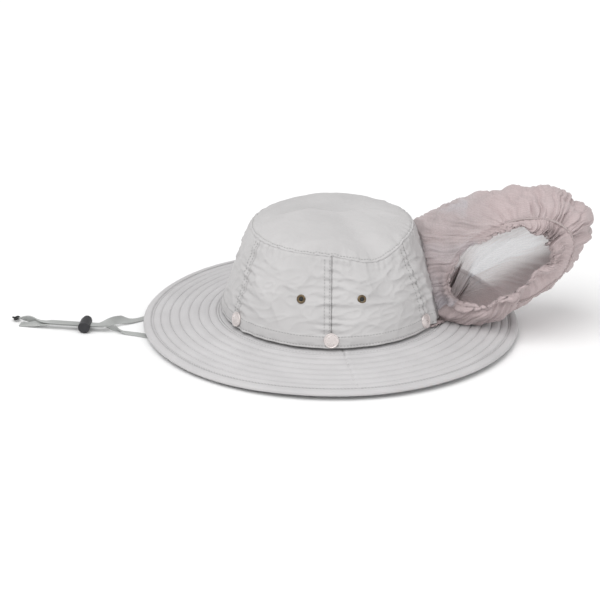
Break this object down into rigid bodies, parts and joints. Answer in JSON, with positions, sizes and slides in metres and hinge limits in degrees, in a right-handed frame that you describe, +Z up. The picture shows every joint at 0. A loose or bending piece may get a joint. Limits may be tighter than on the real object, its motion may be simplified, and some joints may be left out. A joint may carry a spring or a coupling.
{
  "type": "sun_hat_with_veil",
  "caption": "Wide-brimmed sun hat with an insect veil drawn out of a snapped pocket at the back, and a chin strap with a cord lock.",
  "frame": {"origin": "centre of the head opening, level with the foot of the sweatband", "axes": "+Z up out of the crown, +X the wearer's back (veil side), -X the wearer's front (strap side), -Y the wearer's left"},
  "size_m": [0.5433, 0.35, 0.1369],
  "materials": {
    "crown_cloth": "satin",
    "lining_cloth": "matte",
    "sweatband_cloth": "matte",
    "brim_cloth": "satin",
    "stiffener_foam": "matte",
    "binding_tape": "satin",
    "strap_tape": "satin",
    "black_plastic": "semi-gloss",
    "spring_steel": "satin",
    "black_cord": "matte",
    "net": "matte",
    "net_gathered": "matte",
    "elastic": "matte",
    "snap_pearl": "semi-gloss",
    "snap_metal": "satin",
    "antique_brass": "satin"
  },
  "bodies": {
    "hat": {"crown_panel_back": "crown_cloth", "crown_panel_back_right": "crown_cloth", "crown_panel_front_right": "crown_cloth", "crown_panel_front": "crown_cloth", "crown_panel_front_left": "crown_cloth", "crown_panel_back_left": "crown_cloth", "crown_tip": "crown_cloth", "crown_lining": "lining_cloth", "sweatband": "sweatband_cloth", "brim_top": "brim_cloth", "brim_bottom": "brim_cloth", "brim_stiffener": "stiffener_foam", "brim_binding": "binding_tape", "strap_tab_left": "strap_tape", "strap_tab_right": "strap_tape", "strap_leg_left": "strap_tape", "strap_leg_right": "strap_tape", "strap_end_knot": "black_cord", "veil_root_tape": "net_gathered", "snap_stud_back_right": "snap_metal", "snap_stud_right": "snap_metal", "snap_stud_front_right": "snap_metal", "snap_stud_front_left": "snap_metal", "snap_stud_left": "snap_metal", "snap_stud_back_left": "snap_metal", "eyelet_front_left": "antique_brass", "eyelet_washer_front_left": "antique_brass", "eyelet_back_left": "antique_brass", "eyelet_washer_back_left": "antique_brass", "eyelet_back_right": "antique_brass", "eyelet_washer_back_right": "antique_brass", "eyelet_front_right": "antique_brass", "eyelet_washer_front_right": "antique_brass"},
    "snap_back_right": {"snap_cap_back_right": "snap_pearl"},
    "snap_right": {"snap_cap_right": "snap_pearl"},
    "snap_front_right": {"snap_cap_front_right": "snap_pearl"},
    "snap_front_left": {"snap_cap_front_left": "snap_pearl"},
    "snap_left": {"snap_cap_left": "snap_pearl"},
    "snap_back_left": {"snap_cap_back_left": "snap_pearl"},
    "cord_lock": {"cord_lock_barrel": "black_plastic", "cord_lock_spring": "spring_steel"},
    "cord_lock_button": {"cord_lock_plunger": "black_plastic"},
    "veil": {"veil_net": "net", "veil_hem_casing": "net_gathered", "veil_hem_elastic": "elastic"}
  },
  "joints": [
    {"name": "unsnap_back_right", "type": "slide", "parent": "hat", "child": "snap_back_right", "axis": [0.8463, 0.4886, 0.2121], "range_m": [0, 0.004]},
    {"name": "unsnap_right", "type": "slide", "parent": "hat", "child": "snap_right", "axis": [0, 0.9773, 0.2121], "range_m": [0, 0.004]},
    {"name": "unsnap_front_right", "type": "slide", "parent": "hat", "child": "snap_front_right", "axis": [-0.8463, 0.4886, 0.2121], "range_m": [0, 0.004]},
    {"name": "unsnap_front_left", "type": "slide", "parent": "hat", "child": "snap_front_left", "axis": [-0.8463, -0.4886, 0.2121], "range_m": [0, 0.004]},
    {"name": "unsnap_left", "type": "slide", "parent": "hat", "child": "snap_left", "axis": [0, -0.9773, 0.2121], "range_m": [0, 0.004]},
    {"name": "unsnap_back_left", "type": "slide", "parent": "hat", "child": "snap_back_left", "axis": [0.8463, -0.4886, 0.2121], "range_m": [0, 0.004]},
    {"name": "cord_lock_slide", "type": "slide", "parent": "hat", "child": "cord_lock", "axis": [0.9903, -0.1392, 0], "range_m": [-0.022, 0.004], "deforming": ["strap_leg_left", "strap_leg_right"]},
    {"name": "cord_lock_press", "type": "slide", "parent": "cord_lock", "child": "cord_lock_button", "axis": [-0.1392, -0.9903, 0], "range_m": [0, 0.0013], "stiffness_N_per_m": 900, "springref_m": -0.001, "deforming": ["cord_lock_spring"]},
    {"name": "veil_swing", "type": "hinge", "parent": "hat", "child": "veil", "pos_m": [0.104, 0, -0.001], "axis": [0, -1, 0], "range_deg": [-12, 14], "deforming": ["veil_net"]}
  ]
}
